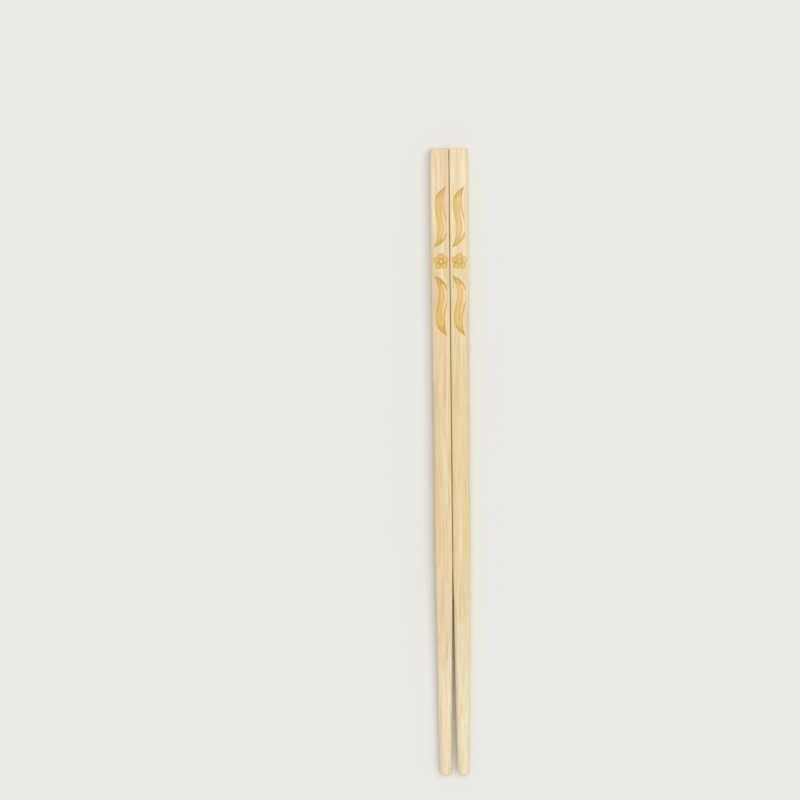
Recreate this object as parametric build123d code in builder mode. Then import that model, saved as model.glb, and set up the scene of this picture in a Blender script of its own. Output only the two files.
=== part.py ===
from build123d import *
import os

# A pair of bamboo chopsticks lying side by side, engraved faces up, in millimetres.
# X runs across the pair, Y from the tips to the handle ends, and Z up from the floor.
# The origin is on the floor, in the middle of the pair.

# One stick, measured from its handle end: square in the hand, then a taper to a round tip
stick_length = 240.0
handle_length = 157.0
handle_end_width = 6.95
shoulder_width = 6.7
tip_width = 4.7
edge_radius = 0.9
handle_end_bevel = 0.4
tip_end_round = 0.9
# What is left of each flat side where the section has turned round
tip_flat = 0.2

# How the two sticks lie together
pair_gap = 0.15

# Engraving: a blossom between two leaves, placed by the blossom's centre
blossom_distance = 42.4
engraving_depth = 0.25
left_ornament_shift = 0.15
right_ornament_shift = 0.0

# Leaf: a swaying band from which a stroke splits off at each end. Its lines run from one named point to the
# next through the points listed, all given as shares of the leaf's length from its inner end and of half
# its width from the ornament's middle line
leaf_start = 5.4
leaf_length = 22.6
leaf_width = 4.6
inner_tip = (0.0, -1.13)
outer_tip = (1.0, 0.85)
inner_stroke_end = (0.2526, 0.98)
outer_stroke_end = (0.42, 0.98)
inner_fork = (0.11, 0.02)
outer_fork = (0.745, 0.0)
band_outer_line = (
    (0.06, -0.85), (0.12, -0.65), (0.2, -0.48), (0.28, -0.4), (0.37, -0.41), (0.46, -0.55), (0.55, -0.76),
    (0.64, -0.9), (0.73, -0.91), (0.81, -0.8), (0.87, -0.54), (0.93, -0.04),
)
outer_stroke_back = ((0.94, 0.71), (0.87, 0.53), (0.8, 0.48), (0.72, 0.5), (0.63, 0.6), (0.53, 0.8))
outer_stroke_front = ((0.5, 0.63), (0.59, 0.36), (0.67, 0.16))
band_inner_line = (
    (0.63, 0.08), (0.54, 0.19), (0.46, 0.35), (0.39, 0.46), (0.32, 0.5), (0.25, 0.43), (0.18, 0.23),
)
inner_stroke_front = ((0.15, 0.39), (0.19, 0.61))
inner_stroke_back = ((0.19, 0.91), (0.14, 0.73), (0.08, 0.25), (0.036, -0.26))

# Blossom: round petals in a ring about a core, with a round eye left standing in the middle
petal_count = 5
petal_ring_radius = 1.85
petal_radius = 1.2
core_radius = 1.1
eye_radius = 0.5

# Worked out from the sizes above
handle_slope = (handle_end_width - shoulder_width) / handle_length
tip_edge_radius = (tip_width - tip_flat) / 2
leaf_lines = (
    (inner_tip, *band_outer_line, outer_tip),
    (outer_tip, *outer_stroke_back, outer_stroke_end),
    (outer_stroke_end, *outer_stroke_front, outer_fork),
    (outer_fork, *band_inner_line, inner_fork),
    (inner_fork, *inner_stroke_front, inner_stroke_end),
    (inner_stroke_end, *inner_stroke_back, inner_tip),
)


def axis_point(side, distance):
    """Centre of a stick at a distance from its handle end.

    The narrowing is all on the upper and outer sides of the handle, so its lower face lies on the floor
    and its inner face runs along the other stick.
    """
    inset = (handle_end_width - handle_slope * distance) / 2
    return Vector(side * (pair_gap / 2 + inset), stick_length / 2 - distance, inset)


def section_plane(side, distance):
    """Plane across a stick, facing its tip."""
    return Plane(origin=axis_point(side, distance), x_dir=(1, 0, 0), z_dir=(0, -1, 0))


def engraving_plane(side, shift):
    """Plane of the handle's upper face, with its origin at the blossom's centre."""
    centre = axis_point(side, blossom_distance)
    on_face = centre + Vector(shift, 0, centre.Z)
    return Plane(origin=on_face, x_dir=(1, 0, 0), z_dir=(0, -handle_slope, 1))


def leaf_point(along, across):
    """Point of the upper leaf, from its shares of the leaf's length and half width."""
    return (across * leaf_width / 2, leaf_start + along * leaf_length)


os.makedirs("parts", exist_ok=True)

sticks = ((-1, left_ornament_shift, "left_chopstick"), (1, right_ornament_shift, "right_chopstick"))
for side, shift, name in sticks:
    with BuildPart() as stick:
        # Handle: its outline from above, cut to its outline from the side, with rounded long edges
        head = axis_point(side, 0)
        shoulder = axis_point(side, handle_length)
        inner = side * pair_gap / 2
        with BuildSketch(Plane.XY):
            with BuildLine():
                Polyline(
                    (inner, head.Y),
                    (inner + side * handle_end_width, head.Y),
                    (inner + side * shoulder_width, shoulder.Y),
                    (inner, shoulder.Y),
                    close=True,
                )
            make_face()
        extrude(amount=handle_end_width)
        with BuildSketch(Plane.YZ.offset(inner)):
            with BuildLine():
                Polyline(
                    (head.Y, 0),
                    (head.Y, handle_end_width),
                    (shoulder.Y, shoulder_width),
                    (shoulder.Y, 0),
                    close=True,
                )
            make_face()
        extrude(amount=side * handle_end_width, mode=Mode.INTERSECT)
        fillet(stick.edges().sort_by(SortBy.LENGTH)[-4:], edge_radius)

        # Taper: from the handle's rounded square section to the round tip
        shoulder_face = stick.faces().sort_by(Axis.Y)[0]
        with BuildSketch(section_plane(side, stick_length), mode=Mode.PRIVATE) as tip:
            RectangleRounded(tip_width, tip_width, tip_edge_radius)
        loft([shoulder_face, tip.sketch.face()], ruled=True)

        # Ends: a rounded tip and a bevelled handle end
        end_faces = stick.faces().sort_by(Axis.Y)
        fillet(end_faces[0].edges(), tip_end_round)
        chamfer(end_faces[-1].edges(), handle_end_bevel)

        # Engraving in the upper face of the handle
        with BuildSketch(engraving_plane(side, shift)):
            with BuildLine():
                for line in leaf_lines:
                    Spline(*[leaf_point(*point) for point in line])
            make_face()
            mirror(about=Plane.XZ)
            Circle(core_radius)
            with PolarLocations(petal_ring_radius, petal_count, start_angle=90):
                Circle(petal_radius)
            Circle(eye_radius, mode=Mode.SUBTRACT)
        extrude(amount=-engraving_depth, mode=Mode.SUBTRACT)

    stick.part.label = name
    export_step(stick.part, f"parts/{name}.step")
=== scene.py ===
"""A pair of bamboo chopsticks on a plain stage, laid out as a Blender add-on and run as a script.

Each stick is one closed surface: a rounded square section carried along the stick, with a blossom and two
leaves cut into its upper side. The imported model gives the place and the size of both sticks.
"""
import math

import bpy
import numpy as np
from bpy.props import FloatProperty, FloatVectorProperty, IntProperty, PointerProperty
from mathutils import Color, Matrix, Vector


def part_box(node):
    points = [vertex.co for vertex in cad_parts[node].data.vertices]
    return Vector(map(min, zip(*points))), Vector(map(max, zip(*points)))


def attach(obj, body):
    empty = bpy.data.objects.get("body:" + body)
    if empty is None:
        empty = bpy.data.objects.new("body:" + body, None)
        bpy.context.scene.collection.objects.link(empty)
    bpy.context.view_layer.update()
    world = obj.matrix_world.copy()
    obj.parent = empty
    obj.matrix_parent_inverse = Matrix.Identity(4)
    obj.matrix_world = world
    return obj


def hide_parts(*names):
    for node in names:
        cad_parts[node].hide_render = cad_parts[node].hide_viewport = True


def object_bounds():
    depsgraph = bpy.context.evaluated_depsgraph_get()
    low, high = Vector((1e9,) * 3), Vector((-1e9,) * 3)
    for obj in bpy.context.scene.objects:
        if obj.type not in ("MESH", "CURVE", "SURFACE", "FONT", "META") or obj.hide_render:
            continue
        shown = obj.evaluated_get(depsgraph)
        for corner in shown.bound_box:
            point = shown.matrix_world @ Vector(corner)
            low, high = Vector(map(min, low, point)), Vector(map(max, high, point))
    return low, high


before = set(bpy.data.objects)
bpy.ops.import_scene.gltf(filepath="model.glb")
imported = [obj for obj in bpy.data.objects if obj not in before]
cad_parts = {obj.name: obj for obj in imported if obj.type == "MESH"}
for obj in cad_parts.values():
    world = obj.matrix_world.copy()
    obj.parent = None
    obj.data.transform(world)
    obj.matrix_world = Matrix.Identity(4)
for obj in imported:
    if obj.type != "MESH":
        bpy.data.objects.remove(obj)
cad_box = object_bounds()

bl_info = {
    "name": "Bamboo Chopsticks",
    "version": (1, 0, 0),
    "blender": (4, 5, 0),
    "location": "3D View > Sidebar > Chopsticks",
    "description": "Builds a pair of engraved bamboo chopsticks and a plain stage",
    "category": "Object",
}

MM = 0.001
BODY = "root"
LEFT, RIGHT = "left_chopstick", "right_chopstick"
# Each stick's side of the pair, the name of its settings, and the place in the wood that its grain is from
STICKS = {LEFT: (-1, "left", 0.31), RIGHT: (1, "right", 0.74)}
# Values kept on a stick's points: how scorched the cut is, and how far the surface has turned to an end
ENGRAVING, END_GRAIN = "engraving", "end_grain"

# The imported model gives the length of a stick, its width at the handle end and the gap between the sticks
right_low, right_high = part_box(RIGHT)


def length_property(name, description, default):
    """A length in metres, shown in the scene's own unit."""
    return FloatProperty(name=name, description=description, default=default, unit="LENGTH", precision=6)


def share_property(name, description, default):
    """A share between nothing and the whole."""
    return FloatProperty(name=name, description=description, default=default, subtype="FACTOR")


def angle_property(name, description, degrees):
    """An angle, written in degrees and kept in radians."""
    return FloatProperty(name=name, description=description, default=math.radians(degrees), subtype="ANGLE")


def colour_property(name, description, red, green, blue):
    """A colour, written as it shows on a screen, in steps from 0 to 255, and kept as linear light."""
    linear = Color((red / 255, green / 255, blue / 255)).from_srgb_to_scene_linear()
    return FloatVectorProperty(
        name=name, description=description, default=linear[:], subtype="COLOR", size=3, min=0, max=1
    )


class StickSizes(bpy.types.PropertyGroup):
    """Sizes of one stick, measured from its handle end."""

    length: length_property("Length", "From the handle end to the tip", right_high.y - right_low.y)
    head_width: length_property("Handle end width", "Side of the square section at the handle end",
                                right_high.x - right_low.x)
    half_gap: length_property("Half gap", "From the middle of the pair to a stick's inner side", right_low.x)
    handle_length: length_property("Handle length", "From the handle end to the shoulder", 157 * MM)
    shoulder_width: length_property("Shoulder width", "Side of the square section at the shoulder", 6.7 * MM)
    tip_width: length_property("Tip width", "Thickness of the round tip", 4.7 * MM)
    tip_flat: length_property("Tip flat", "What is left of each flat side at the tip", 0.2 * MM)
    edge_radius: length_property("Edge radius", "Rounding of the handle's long edges", 0.9 * MM)
    head_round: length_property("Handle end rounding", "Rounding round the handle end", 0.4 * MM)
    tip_round: length_property("Tip rounding", "Rounding round the tip", 0.9 * MM)
    sanding: share_property("Sanding", "How unevenly the long edges are sanded", 0.12)


class EngravingSizes(bpy.types.PropertyGroup):
    """Sizes of the ornament, measured from the blossom's centre."""

    blossom_distance: length_property("Blossom distance", "From the handle end to the blossom", 42.4 * MM)
    depth: length_property("Depth", "Depth of the cut", 0.25 * MM)
    wall: length_property("Wall", "Width of the cut's sloping wall", 0.2 * MM)
    left_shift: length_property("Left shift", "From the left stick's middle to its ornament", 0.15 * MM)
    right_shift: length_property("Right shift", "From the right stick's middle to its ornament", 0.0)
    leaf_start: length_property("Leaf start", "From the blossom's centre to a leaf", 5.4 * MM)
    leaf_length: length_property("Leaf length", "Length of a leaf along the stick", 22.6 * MM)
    leaf_width: length_property("Leaf width", "Width of a leaf across the stick", 4.6 * MM)
    petals: IntProperty(name="Petals", description="Petals of the blossom", default=5, min=3)
    ring_radius: length_property("Ring radius", "From the blossom's centre to a petal's", 1.85 * MM)
    petal_radius: length_property("Petal radius", "Radius of a petal", 1.2 * MM)
    heart_radius: length_property("Heart radius", "Radius of the heart half standing in a petal", 0.42 * MM)
    core_radius: length_property("Core radius", "Radius of the cut between the petals", 1.1 * MM)
    eye_radius: length_property("Eye radius", "Radius of the eye left standing in the middle", 0.5 * MM)
    left_scorch: share_property("Left scorch", "How strongly the left ornament is scorched", 1.0)
    right_scorch: share_property("Right scorch", "How strongly the right ornament is scorched", 0.94)
    scorch_lean: share_property("Scorch lean", "How much weaker the scorching is at the handle end", 0.09)


class BambooColours(bpy.types.PropertyGroup):
    """Colours of the bamboo and of the cut."""

    left_light: colour_property("Left, light", "Palest fibre of the left stick", 247, 228, 190)
    left_dark: colour_property("Left, dark", "Darkest fibre of the left stick", 227, 199, 152)
    right_light: colour_property("Right, light", "Palest fibre of the right stick", 248, 231, 193)
    right_dark: colour_property("Right, dark", "Darkest fibre of the right stick", 230, 207, 159)
    tip: colour_property("Tip", "Paler wood towards the tips", 247, 234, 205)
    bundle: colour_property("Bundles", "Fibre bundles, fine dashes and dots at the ends", 176, 132, 80)
    engraved: colour_property("Engraving", "Floor of the cut", 230, 192, 104)
    scorched: colour_property("Scorched", "Edges and ends of the cut", 208, 166, 70)


class StageSettings(bpy.types.PropertyGroup):
    """Floor, light and camera."""

    floor_colour: colour_property("Floor", "Colour of the floor", 236, 236, 233)
    floor_size: length_property("Floor size", "Width of the floor", 40.0)
    key_strength: FloatProperty(name="Key light", description="Strength of the broad light", default=1.32)
    key_angle: angle_property("Key breadth", "Angle that the broad light fills", 52)
    key_place: FloatVectorProperty(
        name="Key place", description="Where the broad light is, seen from the pair",
        default=(0.28, 0.4, 1.8), subtype="TRANSLATION", unit="LENGTH", size=3,
    )
    fill_strength: FloatProperty(name="Fill light", description="Strength of the even light", default=0.58)
    camera_distance: length_property("Camera distance", "From the camera to the sticks", 0.62)
    camera_lens: FloatProperty(name="Lens", description="Focal length in millimetres", default=73.7)
    camera_tilt: angle_property("Tilt", "Lean of the camera towards the handle ends", 4.0)
    camera_roll: angle_property("Roll", "Turn of the camera about its own axis", -0.68)
    aim_across: length_property("Aim across", "Where the camera aims, across the pair", -19.4 * MM)
    aim_along: length_property("Aim along", "Where the camera aims, along the pair", 25.6 * MM)


# Points of the grid round a stick: on its upper side, on each of the other sides and round each long edge
TOP_COLUMNS, SIDE_COLUMNS, EDGE_COLUMNS = 84, 6, 7
# Rows along a stick: before, beside and past the ornament, and along the taper; then round each end
ROW_COUNTS = (12, 640, 36, 44)
END_ROWS = 7
# Rings between the outline of an end and its pole, as shares of the outline
END_RINGS = (0.3, 0.65)
# How far the close rows go on past the ornament, in widths of the cut's wall
ROW_MARGIN = 4
# How far up a column has to face for the ornament to be cut there
FACING_UP = 0.7
# Waves of the sanding: radians in a metre, and by how many radians each is ahead on the right stick and
# behind on the left
SANDING_WAVES = ((210, 1), (87, 2), (433, 0))


def smooth_step(value):
    """0 below 0, 1 above 1, and an S-shaped rise between them: 3 v squared less 2 v cubed."""
    v = np.clip(value, 0, 1)
    return v * v * (3 - 2 * v)


def bell(distance, reach):
    """1 at no distance, falling to nothing: e to the power of minus the square of distance over reach."""
    return np.exp(-((distance / reach) ** 2))


def section_columns():
    """Where each column runs round a rounded square section, as two arrays of (x, z) rows.

    A point of the section is half the core's side times the first row plus the rounding radius times the
    second. On a flat the first runs along a side of the core and the second points straight out of it; on a
    corner the first stays and the second turns through a right angle. Each quarter is the one before it,
    turned clockwise.
    """
    turn = np.linspace(math.pi / 2, 0, EDGE_COLUMNS, endpoint=False)
    clockwise = np.array([[0, -1], [1, 0]])
    core, out = [], []
    for quarter, flat in enumerate((TOP_COLUMNS, SIDE_COLUMNS, SIDE_COLUMNS, SIDE_COLUMNS)):
        run = np.linspace(-1, 1, flat, endpoint=False)
        quarter_core = np.concatenate([np.stack([run, np.ones(flat)], 1), np.ones((EDGE_COLUMNS, 2))])
        quarter_out = np.concatenate(
            [np.stack([np.zeros(flat), np.ones(flat)], 1), np.stack([np.cos(turn), np.sin(turn)], 1)]
        )
        turned = np.linalg.matrix_power(clockwise, quarter)
        core.append(quarter_core @ turned)
        out.append(quarter_out @ turned)
    return np.concatenate(core), np.concatenate(out)


def length_rows(sizes, cut):
    """Rows along a stick: distance from the handle end, inset of the outline, and scale of the end rings.

    The rows are close together at the ornament. Round an end they follow a quarter circle: the inset is the
    radius times one less the sine, and the way in from the end is the radius times one less the cosine.
    """
    turn = np.linspace(0, math.pi / 2, END_ROWS)
    rise, run = 1 - np.sin(turn), 1 - np.cos(turn)
    rings = np.array(END_RINGS)
    reach = cut.leaf_start + cut.leaf_length + ROW_MARGIN * cut.wall
    stops = (
        sizes.head_round, cut.blossom_distance - reach, cut.blossom_distance + reach,
        sizes.handle_length, sizes.length - sizes.tip_round,
    )
    stretches = zip(stops, stops[1:], ROW_COUNTS)
    body = np.concatenate([np.linspace(*stretch, endpoint=False) for stretch in stretches])[1:]
    distance = np.concatenate([
        np.zeros_like(rings), sizes.head_round * run, body,
        sizes.length - sizes.tip_round * run[::-1], np.full_like(rings, sizes.length),
    ])
    inset = np.concatenate([
        np.full_like(rings, sizes.head_round), sizes.head_round * rise, np.zeros_like(body),
        sizes.tip_round * rise[::-1], np.full_like(rings, sizes.tip_round),
    ])
    scale = np.concatenate([rings, np.ones(END_ROWS + len(body) + END_ROWS), rings[::-1]])
    return distance, inset, scale


# Lines of the upper leaf: a swaying band from which a stroke splits off at each end. Each line runs outwards
# through its points and the named points where lines meet, all given as shares of the leaf's length and of
# half its width
INNER_TIP, OUTER_TIP = (0.0, -1.13), (1.0, 0.85)
INNER_FORK, OUTER_FORK = (0.11, 0.02), (0.745, 0.0)
INNER_STROKE_END, OUTER_STROKE_END = (0.2526, 0.98), (0.42, 0.98)
BAND_OUTER = (
    INNER_TIP, (0.06, -0.85), (0.12, -0.65), (0.2, -0.48), (0.28, -0.4), (0.37, -0.41), (0.46, -0.55),
    (0.55, -0.76), (0.64, -0.9), (0.73, -0.91), (0.81, -0.8), (0.87, -0.54), (0.93, -0.04), OUTER_TIP,
)
BAND_INNER = (
    INNER_FORK, (0.18, 0.23), (0.25, 0.43), (0.32, 0.5), (0.39, 0.46), (0.46, 0.35), (0.54, 0.19),
    (0.63, 0.08), OUTER_FORK,
)
INNER_STROKE_FRONT = (INNER_FORK, (0.15, 0.39), (0.19, 0.61), INNER_STROKE_END)
OUTER_STROKE_FRONT = (OUTER_STROKE_END, (0.5, 0.63), (0.59, 0.36), (0.67, 0.16), OUTER_FORK)
INNER_STROKE_BACK = (
    INNER_TIP, (0.036, -0.26), (0.08, 0.25), (0.14, 0.73), (0.19, 0.91), INNER_STROKE_END,
)
OUTER_STROKE_BACK = (
    OUTER_STROKE_END, (0.53, 0.8), (0.63, 0.6), (0.72, 0.5), (0.8, 0.48), (0.87, 0.53), (0.94, 0.71),
    OUTER_TIP,
)
# Share of the leaf's length between the two strokes, where it is open to the side
LEAF_OPENING = 0.336
# Share of the leaf's length on each side of a point over which a line's slope is taken
SLOPE_REACH = 0.004

# How scorched the cut is: all over, and what its walls, the ends of a leaf, the outer line of its band, the
# blossom and the ring round the eye add; then how scorched the eye is, and how much less a heart is
PLAIN, AT_WALL, AT_ENDS, AT_BAND, IN_BLOSSOM, IN_RING = 0.42, 0.27, 0.34, 0.12, 0.06, 0.24
ON_EYE, LESS_ON_HEART = 0.28, 0.28
# How far these reach: from a wall in its widths, from the band in leaf widths, from the ring in eye radii
WALL_REACH, BAND_REACH, RING_REACH = 2, 0.3, 1.4
# Shares of the leaf's length where its dark ends and its dark band begin, and over which they come in
INNER_END, OUTER_END, END_FADE = 0.22, 0.74, 0.18
BAND_START, BAND_FADE = 0.3, 0.3
# How much of the cut's depth a heart fills
HEART_HEIGHT = 0.5


def smooth_line(line, along):
    """How far across a smooth line is at a share of the leaf's length.

    Between two points it is the cubic that has the height and the slope of both. The slope at a point comes
    from its neighbours on both sides.
    """
    place, height = np.array(line).T
    slope = np.gradient(height, place)
    first = np.clip(np.searchsorted(place, along) - 1, 0, len(place) - 2)
    step = place[first + 1] - place[first]
    t = np.clip((along - place[first]) / step, 0, 1)
    rise = smooth_step(t)
    level = (1 - rise) * height[first] + rise * height[first + 1]
    return level + t * (1 - t) * step * ((1 - t) * slope[first] - t * slope[first + 1])


def line_distance(cut, line, along, across):
    """Distance from a leaf's line, positive to its right: the way across, shortened by the line's slope."""
    rise = smooth_line(line, along + SLOPE_REACH) - smooth_line(line, along - SLOPE_REACH)
    slope = rise / (2 * SLOPE_REACH) * cut.leaf_width / 2 / cut.leaf_length
    return (across - smooth_line(line, along)) * cut.leaf_width / 2 / np.hypot(1, slope)


def leaf_room(cut, x, y):
    """How far a point is inside a leaf's cut, along the leaf as a share, and from the band's outer line.

    The cut lies between the band's outer line and the strokes' backs, and outside the lens between the
    band's inner line and the strokes' fronts. The lower leaf is the upper one, mirrored. The room between
    lines is the least of the distances from them, and outside the lens it is the lens's own room, negative.
    """
    along = (np.abs(y) - cut.leaf_start) / cut.leaf_length
    across = x / (cut.leaf_width / 2)

    def distance(line):
        return line_distance(cut, line, along, across)

    def stroke_distance(inner, outer):
        return np.where(along < LEAF_OPENING, distance(inner), distance(outer))

    def length_room(start, end):
        return np.minimum(along - start, end - along) * cut.leaf_length

    from_band = distance(BAND_OUTER)
    blade = np.minimum(from_band, -stroke_distance(INNER_STROKE_BACK, OUTER_STROKE_BACK))
    blade = np.minimum(blade, length_room(0, 1))
    lens = np.minimum(distance(BAND_INNER), -stroke_distance(INNER_STROKE_FRONT, OUTER_STROKE_FRONT))
    lens = np.minimum(lens, length_room(INNER_FORK[0], OUTER_FORK[0]))
    return np.minimum(blade, -lens), np.clip(along, 0, 1), from_band


def blossom_room(cut, x, y):
    """How far a point is inside the blossom's cut, and inside the heart of a petal.

    The room in a circle is its radius less the distance from its centre. The cut takes the most that a petal
    or the core gives, and no more than the distance from the eye.
    """
    away = np.hypot(x, y)
    room, hearts = cut.core_radius - away, np.full_like(away, -cut.petal_radius)
    for angle in np.arange(cut.petals) * 2 * math.pi / cut.petals + math.pi / 2:
        from_petal = np.hypot(x - cut.ring_radius * math.cos(angle), y - cut.ring_radius * math.sin(angle))
        room = np.maximum(room, cut.petal_radius - from_petal)
        hearts = np.maximum(hearts, cut.heart_radius - from_petal)
    return np.minimum(room, away - cut.eye_radius), hearts


def engraving(cut, x, y):
    """Depth of the cut, from 0 to 1, and how scorched it is, at points measured from the blossom's centre.

    The depth rises in an S over the width of the wall. A heart fills part of it and is less scorched, and the
    eye is only lightly touched. The cut is darkest at the ends of the leaves, then at its walls, round the
    eye and along the outer line of the band. From these the darkness fades as a bell curve, e to the power
    of minus the square of the distance over the reach, and all of it is weaker towards the handle end.
    """
    leaf, along, from_band = leaf_room(cut, x, y)
    blossom, hearts = blossom_room(cut, x, y)
    room = np.maximum(leaf, blossom)
    cut_away, heart = smooth_step(0.5 + room / cut.wall), smooth_step(0.5 + hearts / cut.wall)
    away = np.hypot(x, y)
    wall = bell(room, WALL_REACH * cut.wall)
    ends = smooth_step(np.maximum(along - OUTER_END, INNER_END - along) / END_FADE)
    band = bell(from_band, BAND_REACH * cut.leaf_width) * smooth_step((along - BAND_START) / BAND_FADE)
    ring = bell(away - cut.core_radius, RING_REACH * cut.eye_radius)
    dark = np.where(blossom > leaf, IN_BLOSSOM + IN_RING * ring, AT_BAND * band + AT_ENDS * ends)
    lean = 1 - cut.scorch_lean * y / (cut.leaf_start + cut.leaf_length)
    scorch = lean * cut_away * (1 - LESS_ON_HEART * heart) * (PLAIN + AT_WALL * wall + dark)
    eye = ON_EYE * (away < cut.core_radius)
    return cut_away * (1 - HEART_HEIGHT * heart), np.maximum(scorch, eye)


def stick_surface(sizes, cut, side, name):
    """Points of a stick on a grid of rows along it and columns round it, its two poles, and its marks.

    A row is the rounded square section at its distance from the handle end. The handle narrows evenly; past
    the shoulder the width goes evenly to the tip's and the rounding to half of it, which turns the section
    round. Sanding makes the handle's rounding uneven, by a sum of sine waves. The narrowing is on the upper
    and outer sides, so the stick lies on its lower side and runs along its neighbour. The ornament is cut
    into the upper side, down to a flat floor. A mark has its values on the grid and its value at the poles.
    """
    core_way, out_way = section_columns()
    distance, inset, scale = (row[:, None] for row in length_rows(sizes, cut))
    slope = (sizes.head_width - sizes.shoulder_width) / sizes.handle_length
    line_width = sizes.head_width - slope * distance
    taper = np.clip((distance - sizes.handle_length) / (sizes.length - sizes.handle_length), 0, 1)
    taper_width = sizes.shoulder_width + taper * (sizes.tip_width - sizes.shoulder_width)
    width = np.where(taper > 0, taper_width, line_width)
    tip_radius = (sizes.tip_width - sizes.tip_flat) / 2
    waves = sum(np.sin(pace * distance + ahead * side) for pace, ahead in SANDING_WAVES)
    uneven = 1 + sizes.sanding / len(SANDING_WAVES) * waves * (1 - taper)
    radius = (sizes.edge_radius + taper * (tip_radius - sizes.edge_radius)) * uneven
    core = width / 2 - radius
    across = scale * (core * core_way[:, 0] + (radius - inset) * out_way[:, 0])
    up = scale * (core * core_way[:, 1] + (radius - inset) * out_way[:, 1])

    axis = line_width / 2
    axis_at_blossom = (sizes.head_width - slope * cut.blossom_distance) / 2
    x = side * (sizes.half_gap + axis) + across
    y = np.broadcast_to(sizes.length / 2 - distance, x.shape)
    ornament_x = x - side * (sizes.half_gap + axis_at_blossom) - getattr(cut, f"{name}_shift")
    ornament_y = cut.blossom_distance - distance
    deep, scorch = engraving(cut, ornament_x, ornament_y)
    on_top = np.where(out_way[:, 1] > FACING_UP, 1.0, 0.0)
    cut_floor = axis + width / 2 - cut.depth
    z = axis + up
    z = z - on_top * deep * np.maximum(z - cut_floor, 0)
    poles = np.array([
        [side * (sizes.half_gap + axis[0, 0]), sizes.length / 2, axis[0, 0]],
        [side * (sizes.half_gap + axis[-1, 0]), -sizes.length / 2, axis[-1, 0]],
    ])
    turned = inset / np.where(distance < sizes.length / 2, sizes.head_round, sizes.tip_round)
    marks = {
        ENGRAVING: (getattr(cut, f"{name}_scorch") * scorch * on_top, 0.0),
        END_GRAIN: (np.broadcast_to(turned, x.shape), 1.0),
    }
    return np.stack([x, y, z], 2), poles, marks


def closed_tube(name, points, poles):
    """Mesh of a tube of rows of points, closed round its columns, with a pole at each end.

    A face joins a point, the one after it and their neighbours in the next column. At each end, a fan of
    triangles joins the outermost row to its pole.
    """
    rows, columns = points.shape[:2]
    here = np.arange(rows * columns).reshape(rows, columns)
    beside = np.roll(here, -1, axis=1)
    quads = np.stack([here[:-1], here[1:], beside[1:], beside[:-1]], 2).reshape(-1, 4)
    first, last = np.full(columns, rows * columns), np.full(columns, rows * columns + 1)
    fans = np.concatenate([
        np.stack([first, here[0], beside[0]], 1), np.stack([last, beside[-1], here[-1]], 1),
    ])
    mesh = bpy.data.meshes.new(name)
    mesh.from_pydata(np.concatenate([points.reshape(-1, 3), poles]), [], quads.tolist() + fans.tolist())
    mesh.polygons.foreach_set("use_smooth", np.ones(len(mesh.polygons), bool))
    mesh.update()
    return mesh


# Sockets of the Mix node when it mixes colours
FACTOR, COLOUR_A, COLOUR_B, MIXED = 0, 6, 7, 2


def add_node(tree, kind, inputs=(), **settings):
    """A new node with its settings, and its inputs set to a value or linked to another node's output."""
    made = tree.nodes.new(kind)
    for key, value in settings.items():
        setattr(made, key, value)
    for key, value in dict(inputs).items():
        if isinstance(value, bpy.types.NodeSocket):
            tree.links.new(value, made.inputs[key])
        else:
            made.inputs[key].default_value = value
    return made


def mix_colours(tree, factor, first, second):
    """Output of a node that mixes two colours."""
    inputs = {FACTOR: factor, COLOUR_A: first, COLOUR_B: second}
    return add_node(tree, "ShaderNodeMix", inputs, data_type="RGBA").outputs[MIXED]


def calculate(tree, operation, *values):
    """Output of a Math node."""
    return add_node(tree, "ShaderNodeMath", dict(enumerate(values)), operation=operation).outputs[0]


def spread(tree, value, low, high, to_low, to_high):
    """Output of a node that maps the values from low to high smoothly to those from to_low to to_high."""
    inputs = {"Value": value, "From Min": low, "From Max": high, "To Min": to_low, "To Max": to_high}
    return add_node(tree, "ShaderNodeMapRange", inputs, interpolation_type="SMOOTHSTEP").outputs[0]


def new_group(name, inputs, outputs):
    """A shader node group with its sockets, and its input and output nodes."""
    tree = bpy.data.node_groups.new(name, "ShaderNodeTree")
    for socket, kind in inputs.items():
        tree.interface.new_socket(socket, in_out="INPUT", socket_type=kind)
    for socket, kind in outputs.items():
        tree.interface.new_socket(socket, in_out="OUTPUT", socket_type=kind)
    return tree, tree.nodes.new("NodeGroupInput").outputs, tree.nodes.new("NodeGroupOutput").inputs


# The patterns of the wood, in repeats over a metre: a slow bend, broad tone, streaks, fibre and bundles
BEND_SCALE, TONE_SCALE, STREAK_SCALE, FIBRE_SCALE, BUNDLE_SCALE = 14, 240, 1100, 4200, 2300
# How far the bend moves the other patterns, and how slowly they change along the stick
BEND_REACH = 2 * MM
DRAWN_OUT = 0.022
# Parts of the broad tone and of the streaks in the shade of the wood
TONE_PART, STREAK_PART = 0.55, 0.45
# How strongly a bundle shows, how much more the darkest do and how rare they are
BUNDLE_STRENGTH, DARKEST_BUNDLE, BUNDLE_RARITY = 0.2, 0.25, 4.0
# On the cut ends: how much deeper the wood is, and how much more the bundles show
END_SHADE, END_BUNDLES = 0.6, 1.6
# How far the bundles lie under the fibre round them
BUNDLE_DIP = 0.4
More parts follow.
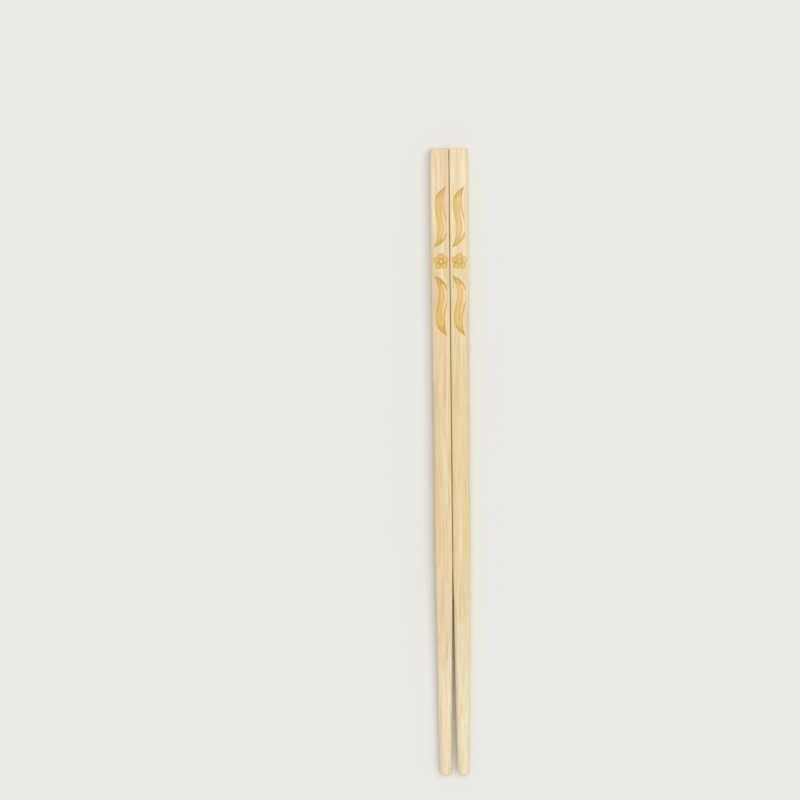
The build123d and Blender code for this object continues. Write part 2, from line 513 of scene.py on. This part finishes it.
# Ranges, each with the values that its two ends are mapped to. The first two run along the stick from its
# middle and the third up from its lower side, all in metres
# Along the stick the wood deepens from the handle end to the middle: partly its own tone, partly painted
# shade of less light on the middle of the pair
MIDDLE_TONE_AND_PAINTED_SHADE = (0.11, 0.02, -0.05, 0.08)
TIP_SHADE = (-0.04, -0.1, 0.0, 0.7)
BUNDLE_SIZE = (0.0, 7 * MM, 0.22, 0.36)
BUNDLE_EDGE = (0.0, 0.12, 0.0, 1.0)
WOOD_SHADE = (0.36, 0.64, 0.0, 1.0)
FIBRE_SHADE = (0.44, 0.7, 0.0, 0.5)
FIBRE_ROUGHNESS = (0.3, 0.7, 0.42, 0.6)
FIBRE_TINT = (0.2, 0.7, 0.88, 1.12)
STREAK_TINT = (0.36, 0.64, 0.82, 1.16)
ENGRAVED_SHARE = (0.0, 0.6, 0.0, 0.92)
SCORCHED_SHARE = (0.45, 1.0, 0.0, 1.0)


def fibre_group():
    """Bamboo fibre: broad tone, fine streaks and fibre bundles, all drawn out along the stick.

    The bundles are cells drawn out to long rods, so they show as dashes on the sides and as dots at the ends.
    They are thicker towards the upper side, which was the outside of the stem, and a few are much darker.
    The cut ends are deeper in tone, and the bundles stand out more there. Towards the middle the wood is
    darker, partly its own tone and partly painted shade.
    """
    tree, given, result = new_group(
        "Bamboo fibre and painted shade",
        {"Vector": "NodeSocketVector", "Seed": "NodeSocketFloat", "Light": "NodeSocketColor",
         "Dark": "NodeSocketColor", "Bundle": "NodeSocketColor", "Tip": "NodeSocketColor",
         "End": "NodeSocketFloat"},
        {"Color": "NodeSocketColor", "Roughness": "NodeSocketFloat", "Height": "NodeSocketFloat",
         "Streak": "NodeSocketFloat"},
    )

    def vector(operation, first, second):
        return add_node(tree, "ShaderNodeVectorMath", {0: first, 1: second}, operation=operation).outputs[0]

    def noise(place, scale, detail, roughness):
        inputs = {"Vector": place, "Scale": scale, "Detail": detail, "Roughness": roughness}
        return add_node(tree, "ShaderNodeTexNoise", inputs).outputs

    def times(first, second):
        return calculate(tree, "MULTIPLY", first, second)

    place = add_node(tree, "ShaderNodeSeparateXYZ", {0: given["Vector"]}).outputs
    shift = add_node(tree, "ShaderNodeCombineXYZ", {0: given["Seed"], 1: given["Seed"], 2: given["Seed"]})
    moved = vector("ADD", given["Vector"], shift.outputs[0])
    bend = noise(moved, BEND_SCALE, detail=1, roughness=0.5)["Color"]
    bent = vector("ADD", moved, vector("MULTIPLY", bend, (BEND_REACH, 0, BEND_REACH)))
    drawn = vector("MULTIPLY", bent, (1, DRAWN_OUT, 1))

    tone = noise(drawn, TONE_SCALE, detail=2, roughness=0.5)[0]
    streak = noise(drawn, STREAK_SCALE, detail=2, roughness=0.6)[0]
    fibre = noise(drawn, FIBRE_SCALE, detail=3, roughness=0.65)[0]
    shade = calculate(tree, "ADD", times(tone, TONE_PART), times(streak, STREAK_PART))
    # Darker towards the middle of the stick: partly the wood's own tone, partly painted shade
    tone_and_painted_shade = calculate(tree, "ADD", shade, spread(tree, place["Y"], *MIDDLE_TONE_AND_PAINTED_SHADE))
    wood = mix_colours(tree, spread(tree, tone_and_painted_shade, *WOOD_SHADE), given["Light"], given["Dark"])
    wood = mix_colours(tree, spread(tree, place["Y"], *TIP_SHADE), wood, given["Tip"])
    wood = mix_colours(tree, spread(tree, fibre, *FIBRE_SHADE), wood, given["Dark"])

    cells = add_node(tree, "ShaderNodeTexVoronoi", {"Vector": drawn, "Scale": BUNDLE_SCALE}).outputs
    size = spread(tree, place["Z"], *BUNDLE_SIZE)
    bundles = spread(tree, calculate(tree, "SUBTRACT", size, cells["Distance"]), *BUNDLE_EDGE)
    chance = add_node(tree, "ShaderNodeSeparateColor", {0: cells["Color"]}).outputs[0]
    rare = calculate(tree, "POWER", chance, BUNDLE_RARITY)
    strength = calculate(tree, "MULTIPLY_ADD", rare, DARKEST_BUNDLE, BUNDLE_STRENGTH)
    strength = times(strength, calculate(tree, "MULTIPLY_ADD", given["End"], END_BUNDLES, 1.0))
    wood = mix_colours(tree, times(given["End"], END_SHADE), wood, given["Dark"])
    wood = mix_colours(tree, times(bundles, strength), wood, given["Bundle"])

    tree.links.new(wood, result["Color"])
    tree.links.new(streak, result["Streak"])
    tree.links.new(spread(tree, fibre, *FIBRE_ROUGHNESS), result["Roughness"])
    tree.links.new(calculate(tree, "SUBTRACT", fibre, times(bundles, BUNDLE_DIP)), result["Height"])
    return tree


def tint_group():
    """Tint of the cut: the engraved colour over the wood, and the scorched colour where it is darkest.

    The wood takes the tint unevenly, so it is stronger where the fibre stands higher and in the streaks.
    """
    tree, given, result = new_group(
        "Engraved tint",
        {"Color": "NodeSocketColor", "Scorch": "NodeSocketFloat", "Fibre": "NodeSocketFloat",
         "Streak": "NodeSocketFloat", "Engraved": "NodeSocketColor", "Scorched": "NodeSocketColor"},
        {"Color": "NodeSocketColor"},
    )
    uneven = calculate(tree, "MULTIPLY", given["Scorch"], spread(tree, given["Fibre"], *FIBRE_TINT))
    uneven = calculate(tree, "MULTIPLY", uneven, spread(tree, given["Streak"], *STREAK_TINT))
    engraved = mix_colours(tree, spread(tree, uneven, *ENGRAVED_SHARE), given["Color"], given["Engraved"])
    scorched = mix_colours(tree, spread(tree, uneven, *SCORCHED_SHARE), engraved, given["Scorched"])
    tree.links.new(scorched, result["Color"])
    return tree


def opaque(colour):
    """A colour with full alpha."""
    return (*colour, 1.0)


def bamboo_material(colours, name, seed, fibre, tint):
    """Sanded bare bamboo: satin, streaked along the stick, with the tinted cut."""
    material = bpy.data.materials.new(f"{name}_bamboo")
    material.use_nodes = True
    tree = material.node_tree
    shader = tree.nodes["Principled BSDF"].inputs
    shader["Specular IOR Level"].default_value = 0.35
    place = add_node(tree, "ShaderNodeTexCoord").outputs["Object"]
    end = add_node(tree, "ShaderNodeAttribute", attribute_name=END_GRAIN).outputs["Fac"]
    mark = add_node(tree, "ShaderNodeAttribute", attribute_name=ENGRAVING).outputs["Fac"]
    wood = add_node(tree, "ShaderNodeGroup", {
        "Vector": place, "Seed": seed, "End": end, "Light": opaque(getattr(colours, f"{name}_light")),
        "Dark": opaque(getattr(colours, f"{name}_dark")), "Bundle": opaque(colours.bundle),
        "Tip": opaque(colours.tip),
    }, node_tree=fibre).outputs
    tinted = add_node(tree, "ShaderNodeGroup", {
        "Color": wood["Color"], "Scorch": mark, "Fibre": wood["Height"], "Streak": wood["Streak"],
        "Engraved": opaque(colours.engraved), "Scorched": opaque(colours.scorched),
    }, node_tree=tint).outputs
    bump = add_node(tree, "ShaderNodeBump", {
        "Strength": 0.6, "Distance": 0.03 * MM, "Height": wood["Height"],
    }).outputs
    tree.links.new(tinted["Color"], shader["Base Color"])
    tree.links.new(wood["Roughness"], shader["Roughness"])
    tree.links.new(bump["Normal"], shader["Normal"])
    return material


class CHOPSTICKS_OT_build_pair(bpy.types.Operator):
    """Builds both sticks with their ornament and bamboo finish"""

    bl_idname = "chopsticks.build_pair"
    bl_label = "Build the pair"

    def execute(self, context):
        scene = context.scene
        fibre, tint = fibre_group(), tint_group()
        for node, (side, name, seed) in STICKS.items():
            points, poles, marks = stick_surface(scene.stick_sizes, scene.engraving_sizes, side, name)
            mesh = closed_tube(f"{node}_skin", points, poles)
            for mark, (on_grid, on_poles) in marks.items():
                values = np.concatenate([on_grid.ravel(), np.full(len(poles), on_poles)])
                mesh.attributes.new(mark, "FLOAT", "POINT").data.foreach_set("value", values)
            mesh.materials.append(bamboo_material(scene.bamboo_colours, name, seed, fibre, tint))
            piece = bpy.data.objects.new(f"{node}_skin", mesh)
            scene.collection.objects.link(piece)
            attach(piece, BODY)
            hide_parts(node)
        return {"FINISHED"}


# How far the floor is below the sticks
FLOOR_DROP = 0.001 * MM


class CHOPSTICKS_OT_build_stage(bpy.types.Operator):
    """Sets a pale floor, soft light and the camera"""

    bl_idname = "chopsticks.build_stage"
    bl_label = "Set the stage"

    def execute(self, context):
        scene, settings = context.scene, context.scene.stage_settings
        self.lay_floor(scene, settings)
        self.set_light(scene, settings)
        self.place_camera(scene, settings)
        return {"FINISHED"}

    def lay_floor(self, scene, settings):
        """A flat square, a hair below the sticks so that they don't share a face with it."""
        grid = np.array([-settings.floor_size / 2, settings.floor_size / 2])
        x, y = np.meshgrid(grid, grid)
        corners = np.stack([x, y, np.full_like(x, -FLOOR_DROP)], 2).reshape(-1, 3)
        mesh = bpy.data.meshes.new("floor")
        mesh.from_pydata(corners, [], [(0, 1, 3, 2)])
        material = bpy.data.materials.new("floor_paper")
        material.use_nodes = True
        shader = material.node_tree.nodes["Principled BSDF"].inputs
        shader["Base Color"].default_value = opaque(settings.floor_colour)
        shader["Roughness"].default_value = 0.9
        shader["Specular IOR Level"].default_value = 0.1
        mesh.materials.append(material)
        floor = bpy.data.objects.new("floor", mesh)
        scene.collection.objects.link(floor)

    def set_light(self, scene, settings):
        """A broad soft light from above and to the right of the handles, and an even pale surround."""
        lamp = bpy.data.lights.new("key", "SUN")
        lamp.energy = settings.key_strength
        lamp.angle = settings.key_angle
        key = bpy.data.objects.new("key", lamp)
        place = Vector(settings.key_place)
        key.matrix_world = Matrix.Translation(place) @ place.to_track_quat("Z", "Y").to_matrix().to_4x4()
        scene.collection.objects.link(key)

        world = bpy.data.worlds.new("surround")
        world.use_nodes = True
        tree = world.node_tree
        back = tree.nodes["Background"]
        seen = add_node(tree, "ShaderNodeLightPath").outputs["Is Camera Ray"]
        shade = mix_colours(tree, seen, (1, 1, 1, 1), opaque(settings.floor_colour))
        strength = {"Value": seen, "To Min": settings.fill_strength, "To Max": 1.0}
        tree.links.new(shade, back.inputs["Color"])
        tree.links.new(add_node(tree, "ShaderNodeMapRange", strength).outputs[0], back.inputs["Strength"])
        scene.world = world
        scene.view_settings.view_transform = "Standard"

    def place_camera(self, scene, settings):
        """A long lens that looks down at the pair, leaning a little towards the handle ends."""
        data = bpy.data.cameras.new("camera")
        data.lens = settings.camera_lens
        camera = bpy.data.objects.new("camera", data)
        aim = Matrix.Translation((settings.aim_across, settings.aim_along, cad_box[1].z))
        lean = Matrix.Rotation(-settings.camera_tilt, 4, "X")
        back = Matrix.Translation((0, 0, settings.camera_distance))
        camera.matrix_world = aim @ lean @ back @ Matrix.Rotation(settings.camera_roll, 4, "Z")
        scene.collection.objects.link(camera)
        scene.camera = camera


SETTINGS = {
    "stick_sizes": StickSizes,
    "engraving_sizes": EngravingSizes,
    "bamboo_colours": BambooColours,
    "stage_settings": StageSettings,
}
OPERATORS = (CHOPSTICKS_OT_build_pair, CHOPSTICKS_OT_build_stage)


class CHOPSTICKS_PT_panel(bpy.types.Panel):
    """Lists the settings and the steps in the sidebar"""

    bl_idname = "CHOPSTICKS_PT_panel"
    bl_label = "Chopsticks"
    bl_space_type = "VIEW_3D"
    bl_region_type = "UI"
    bl_category = "Chopsticks"

    def draw(self, context):
        for name, group in SETTINGS.items():
            box = self.layout.box()
            for key in group.__annotations__:
                box.prop(getattr(context.scene, name), key)
        for operator in OPERATORS:
            self.layout.operator(operator.bl_idname)


def register():
    for group in (*SETTINGS.values(), *OPERATORS, CHOPSTICKS_PT_panel):
        bpy.utils.register_class(group)
    for name, group in SETTINGS.items():
        setattr(bpy.types.Scene, name, PointerProperty(type=group))


def unregister():
    for name in SETTINGS:
        delattr(bpy.types.Scene, name)
    for group in (CHOPSTICKS_PT_panel, *OPERATORS, *SETTINGS.values()):
        bpy.utils.unregister_class(group)


def main():
    """Builds the pair and the stage."""
    register()
    bpy.ops.chopsticks.build_pair()
    bpy.ops.chopsticks.build_stage()


if __name__ == "__main__":
    main()
